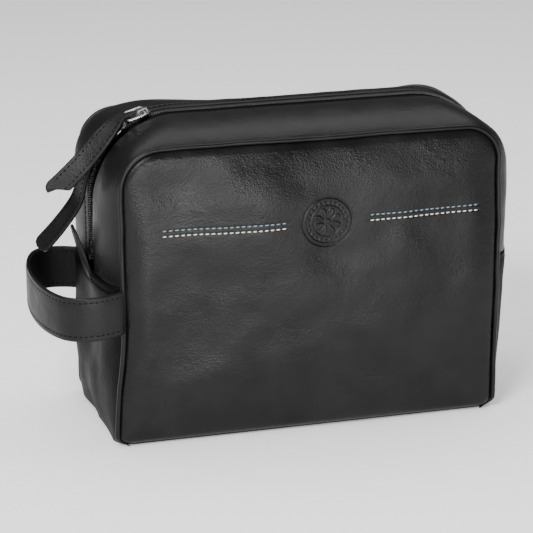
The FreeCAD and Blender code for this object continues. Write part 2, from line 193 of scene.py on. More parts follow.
def resample(points, step):
    """Points a fixed step apart along a polyline, with unit tangents."""
    pts = [Vector(p) for p in points]
    lengths = [0.0]
    for a, b in zip(pts, pts[1:]):
        lengths.append(lengths[-1] + (b - a).length)
    total = lengths[-1]
    count = max(2, int(round(total / step)))
    out, k = [], 0
    for i in range(count + 1):
        s = total * i / count
        while k < len(lengths) - 2 and lengths[k + 1] < s:
            k += 1
        span = max(1e-9, lengths[k + 1] - lengths[k])
        t = (s - lengths[k]) / span
        out.append((pts[k].lerp(pts[k + 1], t), (pts[k + 1] - pts[k]).normalized()))
    return out


def catmull(points, count):
    """Smooth line through control points."""
    pts = [Vector(p) for p in points]
    pts = [pts[0] * 2 - pts[1]] + pts + [pts[-1] * 2 - pts[-2]]
    spans = len(pts) - 3
    out = []
    for i in range(count + 1):
        u = spans * i / count
        k = min(int(u), spans - 1)
        t = u - k
        a, b, c, d = pts[k:k + 4]
        out.append(0.5 * ((2 * b) + (c - a) * t + (2 * a - 5 * b + 4 * c - d) * t * t
                          + (3 * b - a - 3 * c + d) * t ** 3))
    return out


def closed_tube(name, path, radius, sides):
    rows = []
    for i, p in enumerate(path):
        t = (path[(i + 1) % len(path)] - path[i - 1]).normalized()
        side = t.cross(Vector((0, 1, 0))).normalized()
        lift = side.cross(t).normalized()
        rows.append([p + side * (radius * math.cos(a)) + lift * (radius * math.sin(a))
                     for a in (2 * math.pi * k / sides for k in range(sides))])
    return grid_object(name, rows, close_rows=True, close_cols=True)


def stitches(name, spots, length=STITCH_LEN, width=THREAD_R, height=THREAD_R, settle=True):
    """One merged mesh of rounded stitches at (point, direction, outward normal)."""
    sides, rings = 6, 5
    verts, faces = [], []
    for point, along, normal in spots:
        n = Vector(normal).normalized()
        t = (Vector(along) - n * Vector(along).dot(n)).normalized()
        side = n.cross(t)
        centre = sag(point) if settle else Vector(point)
        base = len(verts)
        for i in range(rings):
            f = -1.0 + 2.0 * i / (rings - 1)
            swell = math.sqrt(max(0.0, 1.0 - abs(f) ** 3)) * 0.85 + 0.15
            dip = -height * 0.9 * f * f
            for k in range(sides):
                a = 2 * math.pi * k / sides
                verts.append(centre + t * (f * length / 2) + side * (width * swell * math.cos(a))
                             + n * (dip + height * swell * math.sin(a)))
        faces += grid_faces(rings, sides, close_cols=True, base=base)
        faces.append(tuple(base + k for k in range(sides))[::-1])
        faces.append(tuple(base + (rings - 1) * sides + k for k in range(sides)))
    return mesh_object(name, verts, faces, None, settle=False)


# ---------------------------------------------------------------- materials
def material(name, color, rough, metal=0.0, specular=0.5, sheen=0.0):
    mat = bpy.data.materials.new(name)
    mat.use_nodes = True
    shader = mat.node_tree.nodes["Principled BSDF"]
    shader.inputs["Base Color"].default_value = (*color, 1.0)
    shader.inputs["Roughness"].default_value = rough
    shader.inputs["Metallic"].default_value = metal
    shader.inputs["Specular IOR Level"].default_value = specular
    shader.inputs["Sheen Weight"].default_value = sheen
    shader.inputs["Sheen Roughness"].default_value = 0.5
    return mat


def texture(mat, kind, scale, coords="Object", **props):
    tree = mat.node_tree
    where = tree.nodes.new("ShaderNodeTexCoord")
    node = tree.nodes.new(kind)
    tree.links.new(where.outputs[coords], node.inputs["Vector"])
    node.inputs["Scale"].default_value = scale
    for key, value in props.items():
        if key in node.inputs:
            node.inputs[key].default_value = value
        else:
            setattr(node, key, value)
    return node


def ramp(mat, source, low, high, a=0.0, b=1.0):
    """Source value mapped from a..b to low..high."""
    node = mat.node_tree.nodes.new("ShaderNodeMapRange")
    node.inputs["From Min"].default_value = a
    node.inputs["From Max"].default_value = b
    node.inputs["To Min"].default_value = low
    node.inputs["To Max"].default_value = high
    mat.node_tree.links.new(source, node.inputs["Value"])
    return node.outputs["Result"]


def add_bump(mat, source, strength, distance):
    """Adds a bump under any earlier one."""
    tree = mat.node_tree
    shader = tree.nodes["Principled BSDF"]
    node = tree.nodes.new("ShaderNodeBump")
    node.inputs["Strength"].default_value = strength
    node.inputs["Distance"].default_value = distance
    tree.links.new(source, node.inputs["Height"])
    if shader.inputs["Normal"].is_linked:
        tree.links.new(shader.inputs["Normal"].links[0].from_socket, node.inputs["Normal"])
    tree.links.new(node.outputs["Normal"], shader.inputs["Normal"])


def tint(mat, source, dark, light):
    """Base colour between two shades."""
    tree = mat.node_tree
    node = tree.nodes.new("ShaderNodeMix")
    node.data_type = "RGBA"
    node.inputs["A"].default_value = (*dark, 1.0)
    node.inputs["B"].default_value = (*light, 1.0)
    tree.links.new(source, node.inputs["Factor"])
    tree.links.new(node.outputs["Result"], tree.nodes["Principled BSDF"].inputs["Base Color"])


def leather(name, dark, light, rough, grain, specular=0.2):
    """Satin leather: pebble grain, fine pores, soft cloudy sheen and slight wear."""
    mat = material(name, dark, rough, specular=specular)
    shader = mat.node_tree.nodes["Principled BSDF"]
    cloud = texture(mat, "ShaderNodeTexNoise", 42.0, Detail=3.0)
    pores = texture(mat, "ShaderNodeTexNoise", 2600.0, Detail=3.0, Roughness=0.6)
    cells = texture(mat, "ShaderNodeTexVoronoi", 850.0)
    creases = texture(mat, "ShaderNodeTexNoise", 380.0, Detail=5.0, Roughness=0.65)
    folds = texture(mat, "ShaderNodeTexNoise", 75.0, Detail=2.0, Roughness=0.5)
    tint(mat, ramp(mat, cloud.outputs["Fac"], 0.0, 1.0, 0.3, 0.75), dark, light)
    mat.node_tree.links.new(
        ramp(mat, cloud.outputs["Fac"], rough - 0.06, rough + 0.07, 0.3, 0.7), shader.inputs["Roughness"])
    add_bump(mat, cells.outputs["Distance"], grain, 0.0003)
    add_bump(mat, creases.outputs["Fac"], grain, 0.00045)
    add_bump(mat, folds.outputs["Fac"], grain, 0.0011)
    add_bump(mat, pores.outputs["Fac"], grain * 0.6, 0.00005)
    return mat


def weave(name, dark, light, pitch, sheen):
    """Fine woven cloth from two crossed waves along the piece's own directions."""
    mat = material(name, dark, 0.85, specular=0.15, sheen=sheen)
    warp = texture(mat, "ShaderNodeTexWave", pitch, coords="UV", bands_direction="X", Distortion=0.4)
    weft = texture(mat, "ShaderNodeTexWave", pitch, coords="UV", bands_direction="Y", Distortion=0.4)
    fuzz = texture(mat, "ShaderNodeTexNoise", 900.0, Detail=3.0)
    tint(mat, fuzz.outputs["Fac"], dark, light)
    add_bump(mat, warp.outputs["Fac"], 0.5, 0.0002)
    add_bump(mat, weft.outputs["Fac"], 0.5, 0.0002)
    add_bump(mat, fuzz.outputs["Fac"], 0.3, 0.0001)
    return mat


def thread(name, dark, light, specular, sheen):
    """Twisted sewing thread."""
    mat = material(name, dark, 0.7, specular=specular, sheen=sheen)
    ply = texture(mat, "ShaderNodeTexWave", 900.0, bands_direction="DIAGONAL", Distortion=1.0)
    tint(mat, ply.outputs["Fac"], dark, light)
    add_bump(mat, ply.outputs["Fac"], 0.5, 0.0001)
    return mat


def nickel(name, color, rough):
    """Plated metal with small scuffs."""
    mat = material(name, color, rough, metal=1.0)
    shader = mat.node_tree.nodes["Principled BSDF"]
    scuff = texture(mat, "ShaderNodeTexNoise", 700.0, Detail=4.0)
    tint(mat, scuff.outputs["Fac"], tuple(c * 0.86 for c in color), color)
    mat.node_tree.links.new(
        ramp(mat, scuff.outputs["Fac"], rough * 0.7, rough * 1.5, 0.3, 0.7), shader.inputs["Roughness"])
    add_bump(mat, scuff.outputs["Fac"], 0.12, 0.00004)
    return mat


PANEL_LEATHER = leather("panel_leather", (0.0032, 0.0032, 0.0037), (0.0075, 0.0074, 0.008), 0.33, 0.42)
GUSSET_LEATHER = leather("gusset_leather", (0.0032, 0.0032, 0.0037), (0.0075, 0.0074, 0.008), 0.36, 0.40)
# Side gussets: a copy of the same leather with a darker base colour, which is painted shade on the sides,
# plus a rougher, weaker reflection
SIDE_LEATHER_PAINTED_SHADE = leather("side_leather_painted_shade", (0.0028, 0.0028, 0.0032), (0.0062, 0.0061, 0.0067), 0.52, 0.40, 0.06)
PIPING_LEATHER = leather("piping_leather", (0.003, 0.003, 0.0034), (0.007, 0.007, 0.0075), 0.34, 0.22)
PULL_LEATHER = leather("pull_leather", (0.0038, 0.0037, 0.0042), (0.009, 0.0088, 0.0095), 0.44, 0.38)
# Backing leather: its own darker, rougher leather, with the base colour darkened further as painted shade on
# the inside of the loop
BACKING_LEATHER_AND_SHADE = leather("backing_leather_and_painted_shade", (0.002, 0.002, 0.0022), (0.005, 0.005, 0.0054), 0.62, 0.45)
TAPE_CLOTH = weave("tape_cloth", (0.0015, 0.0015, 0.0017), (0.004, 0.004, 0.0045), 2600.0, sheen=0.0)
LINING_CLOTH = weave("lining_cloth", (0.012, 0.012, 0.014), (0.028, 0.028, 0.032), 1500.0, sheen=0.2)
BLACK_THREAD = thread("black_thread", (0.0012, 0.0012, 0.0014), (0.004, 0.004, 0.0044), 0.1, 0.0)
BLUE_THREAD = thread("blue_thread", (0.115, 0.165, 0.205), (0.22, 0.29, 0.34), 0.35, 0.2)
CREAM_THREAD = thread("cream_thread", (0.50, 0.49, 0.43), (0.72, 0.70, 0.63), 0.35, 0.2)
COIL_NYLON = material("coil_nylon", (0.012, 0.012, 0.014), 0.27, specular=0.9)
COIL_GRAIN = texture(COIL_NYLON, "ShaderNodeTexNoise", 1500.0, Detail=3.0)
tint(COIL_NYLON, COIL_GRAIN.outputs["Fac"], (0.010, 0.010, 0.011), (0.022, 0.022, 0.024))
add_bump(COIL_NYLON, COIL_GRAIN.outputs["Fac"], 0.25, 0.00008)
FRAME_METAL = nickel("frame_metal", (0.46, 0.45, 0.44), 0.26)
SLIDER_METAL = nickel("slider_metal", (0.36, 0.355, 0.35), 0.30)
STOP_METAL = nickel("stop_metal", (0.10, 0.10, 0.11), 0.35)
BOARD_FIBRE = material("board_fibre", (0.06, 0.058, 0.055), 0.85, specular=0.2)
BOARD_GRAIN = texture(BOARD_FIBRE, "ShaderNodeTexNoise", 420.0, Detail=6.0)
tint(BOARD_FIBRE, BOARD_GRAIN.outputs["Fac"], (0.045, 0.043, 0.040), (0.09, 0.087, 0.08))
add_bump(BOARD_FIBRE, BOARD_GRAIN.outputs["Fac"], 0.5, 0.0002)


def dress(obj, mat, body=None, replaced=(), fold=False):
    """Material, slot, the CAD nodes it stands for, and the body it moves with."""
    obj.data.materials.clear()
    obj.data.materials.append(mat)
    if replaced:
        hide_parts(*replaced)
    if fold:
        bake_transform(obj)
    elif body:
        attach(obj, body)
    return obj


# ---------------------------------------------------------------- shared surfaces
def dome_at(y):
    t = min(1.0, abs(y) / (HALF_D - 1.0))
    return DOME * (1.0 - t ** 3.2) ** 0.8


def radius_at(y):
    t = max(0.0, (abs(y) - ZIP_SLOT) / (HALF_D - 1.0 - ZIP_SLOT))
    crest = R_CREST + DOME - COIL_MID
    return R_TOP + (crest - R_TOP) * (1.0 - min(1.0, t) ** 2.2)


def edge_distance(x, z):
    """How far a point of the panel is inside the seam loop."""
    r = R_TOP if z > MID_Z else R_LOW
    qx, qz = abs(x) - HALF_W + r, abs(z - MID_Z) - HALF_H + r
    outside = math.hypot(max(qx, 0.0), max(qz, 0.0))
    return r - outside - min(max(qx, qz), 0.0)


# Swellings (+) and hollows (-) of the front panel: size, centre X and Z, reach in X and Z, mm
SWELL_GAIN = 1.35
PANEL_SWELLS = (
    (2.6, -117.0, 96.0, 9.0, 62.0), (-1.9, -84.0, 112.0, 17.0, 52.0), (-1.2, -104.0, 178.0, 22.0, 14.0),
    (1.9, -36.0, 168.0, 34.0, 22.0), (-1.0, 6.0, 128.0, 26.0, 20.0), (1.2, -22.0, 122.0, 22.0, 24.0),
    (1.3, 112.0, 110.0, 14.0, 60.0), (-0.9, 84.0, 96.0, 20.0, 46.0), (0.9, 60.0, 176.0, 36.0, 16.0),
    (1.0, -20.0, 60.0, 70.0, 26.0), (-0.8, 40.0, 34.0, 60.0, 16.0),
)


def panel_depth(x, z, front):
    """How far the panel stands out from the middle plane."""
    d = max(0.0, edge_distance(x, z))
    across = 1.0 - min(1.0, abs(x) / HALF_W) ** 2.6
    upright = 1.0 - min(1.0, abs(z - MID_Z) / HALF_H) ** 2.4
    seam_roll = 3.1 * (1.0 - math.exp(-d / 1.7)) + 1.5 * (1.0 - math.exp(-d / 9.0))
    depth = HALF_D - 2.1 + seam_roll + 5.0 * across * upright
    inside = 1.0 - math.exp(-d / 14.0)
    q = Vector((x / 46.0, 3.0 if front else 8.0, z / 40.0))
    depth += inside * (1.1 * noise.noise(q) + 0.3 * noise.noise(q * 2.7))
    if front:
        for size, cx, cz, wx, wz in PANEL_SWELLS:
            depth += SWELL_GAIN * size * inside * math.exp(-((x - cx) / wx) ** 2 - ((z - cz) / wz) ** 2)
    return depth


def medallion(x, z):
    """Depth of the debossed rosette: rings, eight petals, beads and a boss."""
    dx, dz = x - MEDAL_X, z - MEDAL_Z
    r = math.hypot(dx, dz)
    if r > MEDAL_R + 2.0:
        return 0.0
    a = math.atan2(dz, dx)
    h = -0.55 * (1.0 - smooth(MEDAL_R - 0.7, MEDAL_R + 0.7, r))
    h += 0.55 * bump(r - 15.3, 0.75) + 0.5 * bump(r - 10.7, 0.55)
    bead_a = (a / (2 * math.pi) * 24) % 1.0 - 0.5
    h += 0.55 * bump(math.hypot(bead_a * 2 * math.pi * 13.0 / 24, r - 13.0), 0.85)
    petal = abs(((a / (2 * math.pi) * 8) % 1.0) - 0.5) * 2.0
    width = math.sin(math.pi * min(1.0, max(0.0, (r - 2.4) / 7.4))) ** 0.7 if 2.4 < r < 9.8 else 0.0
    if width:
        h += 0.6 * smooth(-0.15, 0.15, width * 0.72 - petal)
        h -= 0.3 * bump(petal, 0.10)
    h += 0.6 * (1.0 - smooth(1.5, 2.2, r))
    return h


def accent_dip(x, z):
    """Groove pressed by the accent stitches."""
    dip = 0.0
    for start, pitch, count in ACCENT_ROWS:
        end = start + pitch * count
        if start - 3 < x < end + 2:
            hold = smooth(start - 3, start, x) * (1.0 - smooth(end - 1, end + 2, x))
            for row in ACCENT_Z:
                dip += 0.28 * hold * bump(z - row, 0.8)
    return dip


def spaced(low, high, coarse, dense):
    """Values from low to high, with the given (from, to, step) stretches finer."""
    out, x = [], low
    while x < high - 1e-6:
        out.append(x)
        step = coarse
        for a, b, s in dense:
            if a <= x < b:
                step = min(step, s)
        nearest = [a for a, _, _ in dense if x < a < x + step]
        x = min(nearest) if nearest and min(nearest) - x > 0.05 else x + step
    return out + [high]


def row_half_width(z):
    top, low = SEAM_TOP - R_TOP, SEAM_LOW + R_LOW
    if z > top:
        return HALF_W - R_TOP + math.sqrt(max(0.0, R_TOP ** 2 - (z - top) ** 2))
    if z < low:
        return HALF_W - R_LOW + math.sqrt(max(0.0, R_LOW ** 2 - (low - z) ** 2))
    return HALF_W


def panel(name, front):
    """Whole front or back panel, rolled over at its seam."""
    fine_x = [(-128, -121, 0.7), (-121, -108, 1.4), (108, 121, 1.4), (121, 128, 0.7)]
    fine_z = [(5, 9, 0.4), (9, 18, 0.9), (18, 28, 1.5), (172, 186, 1.3), (186, 193, 0.8), (193, 197.2, 0.35)]
    if front:
        fine_x.append((MEDAL_X - 18, MEDAL_X + 18, 0.36))
        fine_z.append((MEDAL_Z - 18, MEDAL_Z + 18, 0.36))
    xs = spaced(-HALF_W, HALF_W, 2.2, fine_x)
    zs = spaced(SEAM_LOW, SEAM_TOP, 2.2, fine_z)
    rows = []
    for z in zs:
        scale = row_half_width(z) / HALF_W
        row = []
        for x0 in xs:
            x = x0 * scale
            depth = panel_depth(x, z, front)
            if front:
                depth += medallion(x, z) - accent_dip(x, z)
            row.append((x, -depth if front else depth, z))
        rows.append(row)
    return grid_object(name, rows, flip=not front)


# ---------------------------------------------------------------- front and back panels
front_panel = panel("front_panel", True)
dress(front_panel, PANEL_LEATHER, replaced=("front_panel_upper", "front_panel_lower"), fold=True)
back_panel = panel("back_panel_skin", False)
dress(back_panel, PANEL_LEATHER, body="bag", replaced=("back_panel",))


# ---------------------------------------------------------------- piping
def piping(name, side):
    path = []
    for x, z, nx, nz in loop_points(offset=1.2, step=1.6):
        wobble = 0.25 * noise.noise(Vector((x / 14.0, side * 3.0, z / 14.0)))
        under = 1.0 - smooth(4.5, 12.0, z)
        path.append(Vector((x + nx * wobble, side * (HALF_D - 0.6 + wobble * 0.5 - 3.4 * under),
                            z + nz * wobble + 1.3 * under)))
    return closed_tube(name, path, PIPING_R, 12)


dress(piping("front_piping", -1), PIPING_LEATHER,
      replaced=("front_piping_upper", "front_piping_lower"), fold=True)
dress(piping("back_piping_bead", 1), PIPING_LEATHER, body="bag", replaced=("back_piping",))


# ---------------------------------------------------------------- zip gusset
def gusset_profile():
    """(depth, drop below the dome) from the seam over the top, round the fold and back."""
    outer = [(y, 0.0) for y in (54.0, 53.4, 52.4, 51.0, 49.0, 46.5, 43.0, 39.0, 34.0, 29.0, 24.0, 18.5)]
    groove = [(16.4, 0.15), (14.4, 0.45), (13.5, 0.65), (12.9, 1.2), (12.3, 0.95), (11.2, 1.1), (9.4, 1.45)]
    fold = [(8.6, 1.75), (8.2, 2.1), (8.1, 2.5), (8.3, 3.0), (9.0, 3.3)]
    under = [(12.0, 3.1), (15.0, 2.2), (24.0, 2.1), (34.0, 2.0), (44.0, 2.0), (50.5, 2.0), (53.0, 1.2)]
    return outer + groove + fold + under


def gusset(name, side):
    rows = []
    lines = [(y, arch_line(dome_at(y) - drop, max(R_LOW, radius_at(y) - drop), 103.0))
             for y, drop in gusset_profile()]
    for i in range(len(lines[0][1])):
        row = []
        for y, line in lines:
            x, z, nx, nz = line[i]
            tuck = 1.6 * (1.0 - smooth(108.0, 111.5, z))
            ripple = 0.35 * noise.noise(Vector((x / 16.0, side * y / 20.0, z / 16.0)))
            ripple *= smooth(7.0, 14.0, y) * (1.0 - smooth(45.0, 53.0, y))
            off = ripple - tuck
            row.append((x + nx * off, side * y, z + nz * off))
        rows.append(row)
    return grid_object(name, rows, close_cols=True, flip=side > 0)


dress(gusset("zip_gusset_front", -1), GUSSET_LEATHER, replaced=("front_zip_gusset",), fold=True)
dress(gusset("zip_gusset_rear", 1), GUSSET_LEATHER, body="bag", replaced=("rear_zip_gusset",))


def arch_spots(side, y, offset, r, foot, pitch):
    """Stitch spots along the arch at one depth."""
    line = arch_line(offset, r, foot)
    pts = [Vector((x, side * y, z)) for x, z, _, _ in line]
    normals = [Vector((nx, 0, nz)) for _, _, nx, nz in line]
    out = []
    for p, t in resample(pts, pitch):
        nearest = min(range(len(pts)), key=lambda k: (pts[k] - p).length_squared)
        out.append((p, t, normals[nearest]))
    return out


for side, name, mover in ((-1, "topstitch_zip_front", None), (1, "topstitch_zip_rear", "bag")):
    spots = arch_spots(side, ZIP_STITCH_Y, dome_at(ZIP_STITCH_Y) - ZIP_STITCH_DROP, radius_at(ZIP_STITCH_Y),
                       112.0, STITCH_PITCH)
    row = stitches(name, spots)
    dress(row, BLACK_THREAD, body=mover, fold=mover is None)


# ---------------------------------------------------------------- zip tapes and coils
def tape(name, side):
    lines = [(y, arch_line(o, R_CREST + o - COIL_MID, 110.9))
             for y, o in ((13.0, 9.5), (8.0, 9.9), (5.5, 10.2), (3.6, 10.7), (1.2, 10.9), (0.35, 10.8),
                          (0.35, 10.2), (3.6, 10.1), (8.0, 9.4), (13.0, 9.0))]
    rows = []
    for i in range(len(lines[0][1])):
        rows.append([(line[i][0], side * y, line[i][1]) for y, line in lines])
    return grid_object(name, rows, close_cols=True, flip=side > 0)


def coil(name, side):
    """Row of moulded nylon loops."""
    pitch = 1.62
    line = arch_line(COIL_MID, R_CREST, 116.5)
    pts = [Vector((x, 0, z)) for x, z, _, _ in line]
    shift = 0.0 if side < 0 else 0.5
    verts, faces = [], []
    sides, rings = 6, 5
    half = 1.45
    for p, t in resample(pts, pitch):
        n = Vector((-t.z, 0, t.x))
        centre = p + t * (pitch * shift) + Vector((0, side * (0.05 + half), 0)) - n * 0.3
        across = Vector((0, side, 0)) + t * 0.12
        base = len(verts)
        for i in range(rings):
            f = -1.0 + 2.0 * i / (rings - 1)
            swell = 0.55 + 0.45 * math.sqrt(max(0.0, 1 - f * f))
            head = 1.0 + 0.35 * bump(f + 0.85, 0.35)
            for j in range(sides):
                a = 2 * math.pi * j / sides
                verts.append(centre + across * (f * half) + t * (0.46 * swell * head * math.cos(a))
                             + n * (swell * math.sin(a) - 0.25 * f * f))
        faces += grid_faces(rings, sides, close_cols=True, base=base)
        faces.append(tuple(base + j for j in range(sides))[::-1])
        faces.append(tuple(base + (rings - 1) * sides + j for j in range(sides)))
    return mesh_object(name, verts, faces)


dress(tape("zip_tape_front", -1), TAPE_CLOTH, replaced=("front_zip_tape",), fold=True)
dress(tape("zip_tape_rear", 1), TAPE_CLOTH, body="bag", replaced=("rear_zip_tape",))
dress(coil("zip_coil_front", -1), COIL_NYLON, replaced=("front_zip_coil",), fold=True)
dress(coil("zip_coil_rear", 1), COIL_NYLON, body="bag", replaced=("rear_zip_coil",))


# ---------------------------------------------------------------- side gussets
def side_bulge(z):
    """How far the gusset's middle stands out at one height."""
    fall = 8.3 * (max(0.0, SPLIT_Z - z) / (SPLIT_Z - 7.5)) ** 2
    return (DOME - fall) * (0.55 + 0.45 * smooth(0.0, 22.0, z))


def side_x(y, z, extra=0.0):
    """Outside of the left gusset, negative X."""
    lip = 1.3 * smooth(89.0, 104.0, z) * (1.0 - smooth(50.0, 54.0, abs(y)))
    fold = 0.3 * bump(abs(y) - 12.0 - z * 0.06, 9.0) * (1.0 - smooth(20.0, 80.0, z))
    crease = 0.8 * noise.noise(Vector((y / 22.0, z / 30.0, 4.0))) * smooth(5.0, 20.0, z)
    hold = 1.0 - smooth(45.0, 53.5, abs(y))
    rise = R_LOW - min(R_LOW, max(0.0, z - SEAM_LOW))
    corner = R_LOW - math.sqrt(R_LOW ** 2 - rise ** 2)
    tuck = 1.6 * (1.0 - smooth(0.0, 4.0, z)) + 0.85 * corner * smooth(43.0, 53.0, abs(y))
    return -(HALF_W + dome_at(y) * side_bulge(z) / DOME + lip - fold * hold + crease * hold + extra - tuck)


SIDE_TOP = 110.7


def side_gusset(name, hand):
    """Left (hand 1) or right (hand -1) gusset with its turned top edge."""
    zs = [0.5, 1.2, 2.2, 3.6, 5.5, 7.5, 10.0, 14.0] + [20.0 + 6.0 * k for k in range(12)]
    zs += [90.0, 94.0, 98.0, 100.5, 102.5, 104.5, 105.5, 106.1, 106.7, 107.7, 108.9, 109.9, SIDE_TOP]
    ys = [-54.0, -53.2, -52.0, -50.0, -46.5, -42.0, -36.5, -30.0, -23.0, -16.0, -8.0, 0.0]
    ys = ys + [-y for y in ys[-2::-1]]
    rows = []
    for z in zs:
        groove = 0.25 * bump(z - SIDE_STITCH_Z, 0.55)
        rows.append([(hand * side_x(y, z, -groove), y, z) for y in ys])
    for dz, dx in ((0.45, -0.35), (0.6, -0.95), (0.45, -1.6), (-0.4, -2.1), (-3.0, -2.4), (-12.0, -2.2)):
        rows.append([(hand * side_x(y, SIDE_TOP + min(dz, 0), dx), y, SIDE_TOP + dz) for y in ys])
    return grid_object(name, rows, flip=hand > 0)


def side_stitch_spots(hand):
    pts = [Vector((hand * side_x(y, SIDE_STITCH_Z, -0.1), y, SIDE_STITCH_Z))
           for y in (-51.0 + 2.0 * k for k in range(52))]
    return [(p, t, Vector((-hand, 0, 0))) for p, t in resample(pts, STITCH_PITCH)]


for hand, word in ((1, "left"), (-1, "right")):
    skin = side_gusset("gusset_" + word, hand)
    dress(skin, SIDE_LEATHER_PAINTED_SHADE, replaced=(word + "_side_gusset",), fold=True)
    row = stitches("topstitch_gusset_" + word, side_stitch_spots(hand))
    dress(row, BLACK_THREAD, fold=True)


# ---------------------------------------------------------------- base
def plan_loop(half_x, half_y, r, count=14):
    """Rounded rectangle in plan."""
    out = []
    for cx, cy, deg in ((1, 1, 0), (-1, 1, 90), (-1, -1, 180), (1, -1, 270)):
        for k in range(count):
            a = math.radians(deg + 90.0 * k / (count - 1))
            out.append((cx * (half_x - r) + r * math.cos(a), cy * (half_y - r) + r * math.sin(a)))
    return out


def base_shell():
    """Base leather as rings of (growth, Z), turned up inside the seam."""
    rings = ((-60.0, 0.0), (-40.0, 0.0), (-8.0, 0.0), (-3.2, 0.05), (-1.4, 0.5), (-0.4, 1.6), (0.0, 3.2),
             (-0.2, 5.2), (-0.9, 6.6), (-2.2, 7.2), (-4.0, 6.0), (-4.2, 3.0), (-12.0, 2.1), (-40.0, 2.1))
    rows = []
    for grow, z in rings:
        hx, hy = HALF_W - 1.2 + grow, max(1.5, HALF_D - 3.0 + grow)
        hx = max(hx, 20.0)
        rows.append([(x, y, z) for x, y in plan_loop(hx, hy, min(9.0, hy - 0.5))])
    return grid_object("base_skin", rows, close_cols=True, caps=True, flip=True)


dress(base_shell(), GUSSET_LEATHER, body="bag", replaced=("base_panel",))
for node, mat in (("base_board", BOARD_FIBRE), ("zip_stop_left", STOP_METAL), ("zip_stop_right", STOP_METAL)):
    NODES[node].data.materials.clear()
    NODES[node].data.materials.append(mat)


# ---------------------------------------------------------------- linings
def lining_panel(name, front):
    rows = []
    for i in range(36):
        z = 9.0 + 186.0 * i / 35
        half = row_half_width(z) - 4.0
        row = []
        for j in range(44):
            x = -half + 2 * half * j / 43
            slack = 0.8 * noise.noise(Vector((x / 18.0, 5.0 if front else 9.0, z / 18.0)))
            y = min(panel_depth(x, z, front) - 3.4 + slack, HALF_D + 1.5)
            row.append((x, -y if front else y, z))
        rows.append(row)
    return grid_object(name, rows, flip=not front)


def lining_side(name, hand):
    rows = []
    for i in range(24):
        z = 9.0 + 99.0 * i / 23
        row = []
        for j in range(26):
            y = -50.0 + 4.0 * j
            slack = 0.7 * noise.noise(Vector((y / 12.0, z / 14.0, hand * 3.0)))
            row.append((hand * (side_x(y, min(z, 88.0)) + 3.4 + slack), y, z))
        rows.append(row)
    return grid_object(name, rows, flip=hand > 0)


def lining_zip(name, side):
    lines = [(y, arch_line(dome_at(y) - 3.7, radius_at(y) - 3.7, 106.5))
             for y in (51.0, 48.0, 43.0, 37.0, 29.0, 21.0, 14.8, 14.2)]
    rows = []
    for i in range(len(lines[0][1])):
        rows.append([(line[i][0], side * y, line[i][1]) for y, line in lines])
    return grid_object(name, rows, flip=side > 0)


def lining_base():
    rows = []
    for grow, z in ((-70.0, 4.4), (-50.0, 4.4), (-30.0, 4.5), (-14.0, 4.6), (-9.0, 4.9), (-6.5, 6.0),
                    (-5.8, 8.5)):
        hy = max(1.0, HALF_D + grow)
        rows.append([(x, y, z) for x, y in plan_loop(HALF_W - 2.0 + grow, hy, min(4.0, hy - 0.3))])
    return grid_object("lining_base_cloth", rows, close_cols=True)


dress(lining_panel("lining_front_cloth", True), LINING_CLOTH,
      replaced=("lining_front_upper", "lining_front_lower"), fold=True)
dress(lining_panel("lining_back_cloth", False), LINING_CLOTH, body="bag", replaced=("lining_back",))
for hand, word in ((1, "left"), (-1, "right")):
    dress(lining_side("lining_side_cloth_" + word, hand), LINING_CLOTH,
          replaced=("lining_side_" + word,), fold=True)
dress(lining_zip("lining_zip_cloth_front", -1), LINING_CLOTH,
      replaced=("lining_zip_front",), fold=True)
dress(lining_zip("lining_zip_cloth_rear", 1), LINING_CLOTH,
      body="bag", replaced=("lining_zip_rear",))
dress(lining_base(), LINING_CLOTH, body="bag", replaced=("lining_base",))


# ---------------------------------------------------------------- accent stitches
def accent_row(name, z, mat, node):
    spots = []
    for start, pitch, count in ACCENT_ROWS:
        for i in range(count):
            x = start + pitch * (i + 0.36)
            y = -panel_depth(x, z, True) + 0.05
            spots.append((Vector((x, y, z)), Vector((1, 0, 0.06)), Vector((0, -1, 0))))
    row = stitches(name, spots, length=3.0, width=0.5, height=0.48)
    dress(row, mat, replaced=(node,), fold=True)


accent_row("accent_row_blue", ACCENT_Z[0], BLUE_THREAD, "accent_stitches_upper")
accent_row("accent_row_cream", ACCENT_Z[1], CREAM_THREAD, "accent_stitches_lower")


# ---------------------------------------------------------------- wrist loop
STRAP_ROUTE = ((-127.6, -54.6), (-131.9, -57.6), (-138.5, -60.2), (-148.5, -62.4), (-160.5, -60.4),
               (-171.5, -50.5), (-179.5, -28.0), (-182.0, 0.0), (-179.5, 28.0), (-171.5, 50.5),
               (-160.5, 60.4), (-148.5, 62.4), (-138.5, 60.2), (-131.9, 57.6), (-127.6, 54.6))


def strap_frame():
    """Points on the outside of the loop, with the inward normal."""
    pts = catmull([(x, y, 0.0) for x, y in STRAP_ROUTE], 150)
    out = []
    for i, p in enumerate(pts):
        t = (pts[min(i + 1, len(pts) - 1)] - pts[max(i - 1, 0)]).normalized()
        n = Vector((-t.y, t.x, 0.0))
        if n.dot(Vector((-150.0, 0, 0)) - p) < 0:
            n = -n
        out.append((p, t, n))
    return out


STRAP_LINE = strap_frame()


def strap_height(i):
    """Middle of the drooping loop at a station."""
    share = i / (len(STRAP_LINE) - 1)
    return STRAP_Z - 1.2 * math.sin(math.pi * share) - 6.0 * smooth(0.45, 0.9, share)


